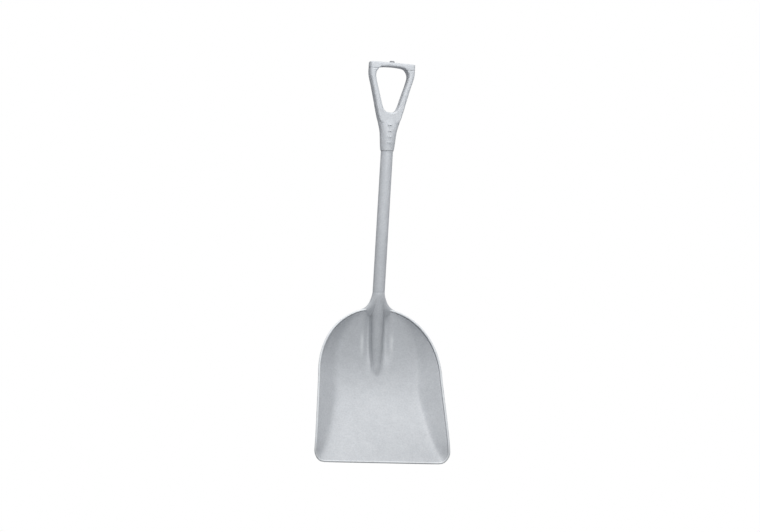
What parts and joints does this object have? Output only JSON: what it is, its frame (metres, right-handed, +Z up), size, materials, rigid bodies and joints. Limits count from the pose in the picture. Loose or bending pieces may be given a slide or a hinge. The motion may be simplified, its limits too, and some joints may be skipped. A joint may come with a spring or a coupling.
{
  "type": "grain scoop shovel",
  "caption": "White moulded plastic grain scoop shovel with a deep flared blade, a round straight shaft and a Y-shaped hand grip.",
  "frame": {"origin": "on the floor under the middle of the bounding box, with the tool lying on its back", "axes": "+Y runs along the level shaft from the blade toward the hand grip, +Z is up out of the dish, +X is across the blade"},
  "size_m": [0.3532, 1.0406, 0.1676],
  "materials": {
    "white_plastic": "satin moulded polypropylene, fine sparkle texture in the dish",
    "pin_plastic": "satin",
    "grey_plastic": "satin",
    "core_metal": "drawn tube"
  },
  "bodies": {
    "root": {"scoop_blade": "white_plastic", "shaft_sleeve": "white_plastic", "shaft_core_tube": "core_metal", "core_foot_plug": "grey_plastic", "core_head_plug": "grey_plastic", "collar_pin": "pin_plastic", "grip_yoke": "white_plastic", "neck_pins": "pin_plastic", "hand_bar": "white_plastic", "hand_bar_dowels": "pin_plastic", "hand_bar_button": "pin_plastic"}
  },
  "joints": []
}
